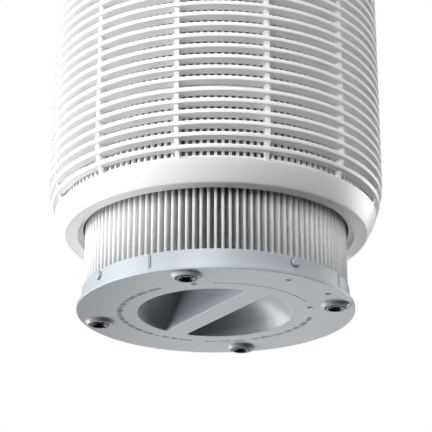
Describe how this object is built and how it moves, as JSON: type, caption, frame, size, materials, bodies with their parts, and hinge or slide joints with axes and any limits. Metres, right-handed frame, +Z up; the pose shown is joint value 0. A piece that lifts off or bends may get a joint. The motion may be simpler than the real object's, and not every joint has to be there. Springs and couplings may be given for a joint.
{
  "type": "air purifier",
  "caption": "White round-column air purifier with slatted intake, top outlet and touch panel; pleated filter cartridge drawn partly out of the bottom on its grey twist-lock cover.",
  "frame": {"origin": "on the floor under the middle of the column, at the bottom of the four feet, with the cartridge drawn out 51 mm", "axes": "+Z up along the column, -Y is the front, where the keys are; the power inlet is at the back, at +Y"},
  "size_m": [0.22, 0.22, 0.4079],
  "materials": {
    "shell_white": "fine satin, lightly textured",
    "screen_white": "satin",
    "inner_plastic": "satin",
    "dark_plastic": "matte",
    "fan_plastic": "satin",
    "steel": "bright zinc",
    "stator": "varnished copper windings on a laminated core",
    "contact": "plated",
    "board": "solder resist",
    "lens": "high gloss",
    "light": "translucent",
    "key_face": "satin gloss",
    "paper": "pleated filter paper",
    "net": "fine open net",
    "carbon": "carbon loaded fleece",
    "gasket": "closed cell foam",
    "cover_grey": "satin",
    "pad_rubber": "matte"
  },
  "bodies": {
    "housing": {"intake_shell": "shell_white", "upper_shell": "shell_white", "prefilter_screen": "screen_white", "bayonet_ring": "inner_plastic", "fan_deck": "inner_plastic", "inlet_guard": "inner_plastic", "fan_duct": "inner_plastic", "guide_vanes": "inner_plastic", "electronics_drum": "inner_plastic", "duct_screws": "steel", "bay_lid": "inner_plastic", "motor_can": "steel", "motor_stator": "stator", "motor_bearings": "steel", "motor_screws": "steel", "main_board": "board", "board_parts": "dark_plastic", "board_screws": "steel", "sensor_module": "dark_plastic", "power_inlet": "dark_plastic", "inlet_pin": "contact", "outlet_grille": "shell_white", "control_pod": "shell_white", "display_lens": "lens", "light_ring": "light", "control_board": "board", "key_switches": "dark_plastic"},
    "fan": {"motor_shaft": "steel", "motor_rotor": "steel", "impeller": "fan_plastic", "impeller_nut": "steel"},
    "power_button": {"power_key": "key_face"},
    "speed_button": {"speed_key": "key_face"},
    "mode_button": {"mode_key": "key_face"},
    "cartridge": {"filter_media": "paper", "filter_net": "net", "core_cage": "inner_plastic", "carbon_sleeve": "carbon", "top_cap": "inner_plastic", "top_gasket": "gasket", "bottom_cap": "inner_plastic"},
    "cover": {"base_cover": "cover_grey", "foot_pad_1": "pad_rubber", "foot_pad_2": "pad_rubber", "foot_pad_3": "pad_rubber", "foot_pad_4": "pad_rubber", "foot_screws": "steel"}
  },
  "joints": [
    {"name": "filter_slide", "type": "slide", "parent": "housing", "child": "cartridge", "axis": [0, 0, -1], "range_m": [-0.051, 0.15]},
    {"name": "base_twist", "type": "hinge", "parent": "cartridge", "child": "cover", "pos_m": [0, 0, 0.0142], "axis": [0, 0, 1], "range_deg": [0, 30]},
    {"name": "fan_spin", "type": "hinge", "parent": "housing", "child": "fan", "pos_m": [0, 0, 0.3026], "axis": [0, 0, 1], "continuous": true},
    {"name": "power_press", "type": "slide", "parent": "housing", "child": "power_button", "axis": [0, 0, -1], "range_m": [0, 0.001], "stiffness_N_per_m": 800, "springref_m": -0.0005},
    {"name": "speed_press", "type": "slide", "parent": "housing", "child": "speed_button", "axis": [0, 0, -1], "range_m": [0, 0.001], "stiffness_N_per_m": 800, "springref_m": -0.0005},
    {"name": "mode_press", "type": "slide", "parent": "housing", "child": "mode_button", "axis": [0, 0, -1], "range_m": [0, 0.001], "stiffness_N_per_m": 800, "springref_m": -0.0005}
  ]
}
